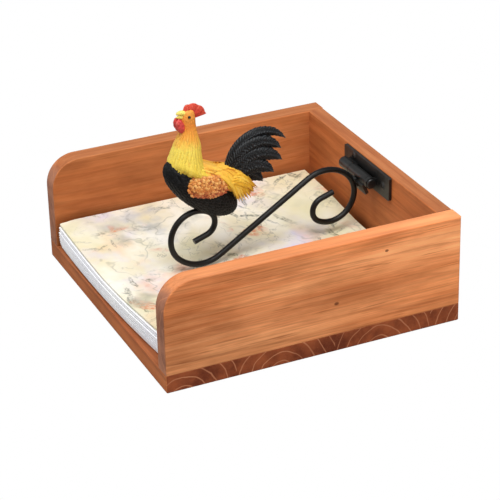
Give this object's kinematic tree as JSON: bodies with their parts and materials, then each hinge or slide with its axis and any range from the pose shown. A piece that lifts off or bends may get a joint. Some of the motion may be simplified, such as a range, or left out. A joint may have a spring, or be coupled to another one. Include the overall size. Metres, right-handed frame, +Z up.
{
  "type": "napkin holder",
  "caption": "Square wooden napkin tray, open at the front, with a hinged black wire scroll that carries a painted cockerel and weighs down the napkins.",
  "frame": {"origin": "bottom centre of the tray, on the surface it stands on", "axes": "+Z up; +Y towards the hinged back wall, the open front towards -Y; +X to the right seen from the front"},
  "size_m": [0.195, 0.192, 0.1342],
  "materials": {
    "pine": "stained pine, satin wax",
    "dowel_wood": "plain beech",
    "black_metal": "satin black paint",
    "feather_black": "painted resin, black",
    "comb_red": "painted resin, red",
    "beak_yellow": "painted resin, pale yellow",
    "hackle_yellow": "painted resin, yellow shaded orange",
    "wing_brown": "painted resin, orange brown",
    "saddle_gold": "painted resin, golden orange",
    "napkin_white": "soft tissue paper, white",
    "napkin_print": "soft tissue paper, cream with a pale print"
  },
  "bodies": {
    "tray": {"base_board": "pine", "side_wall_left": "pine", "side_wall_right": "pine", "back_wall": "pine", "wall_dowels": "dowel_wood", "hinge_fixed_leaf": "black_metal", "hinge_pin": "black_metal", "hinge_screws": "black_metal"},
    "arm": {"hinge_moving_leaf": "black_metal", "scroll_arm": "black_metal", "rooster_eyes": "feather_black", "rooster_comb": "comb_red", "rooster_wattles": "comb_red", "rooster_beak": "beak_yellow", "rooster_hackle": "hackle_yellow", "rooster_wings": "wing_brown", "rooster_saddle": "saddle_gold", "rooster_tail": "feather_black", "rooster_body": "feather_black"},
    "pile": {"napkin_stack": "napkin_white"},
    "napkin": {"top_napkin": "napkin_print"}
  },
  "joints": [
    {"name": "arm_lift", "type": "hinge", "parent": "tray", "child": "arm", "pos_m": [0, 0.0795, 0.06], "axis": [-1, 0, 0], "range_deg": [0, 84]},
    {"name": "pile_slide", "type": "slide", "parent": "tray", "child": "pile", "axis": [0, -1, 0], "range_m": [0, 0.18]},
    {"name": "napkin_slide", "type": "slide", "parent": "tray", "child": "napkin", "axis": [0, -1, 0], "range_m": [0, 0.18]}
  ]
}
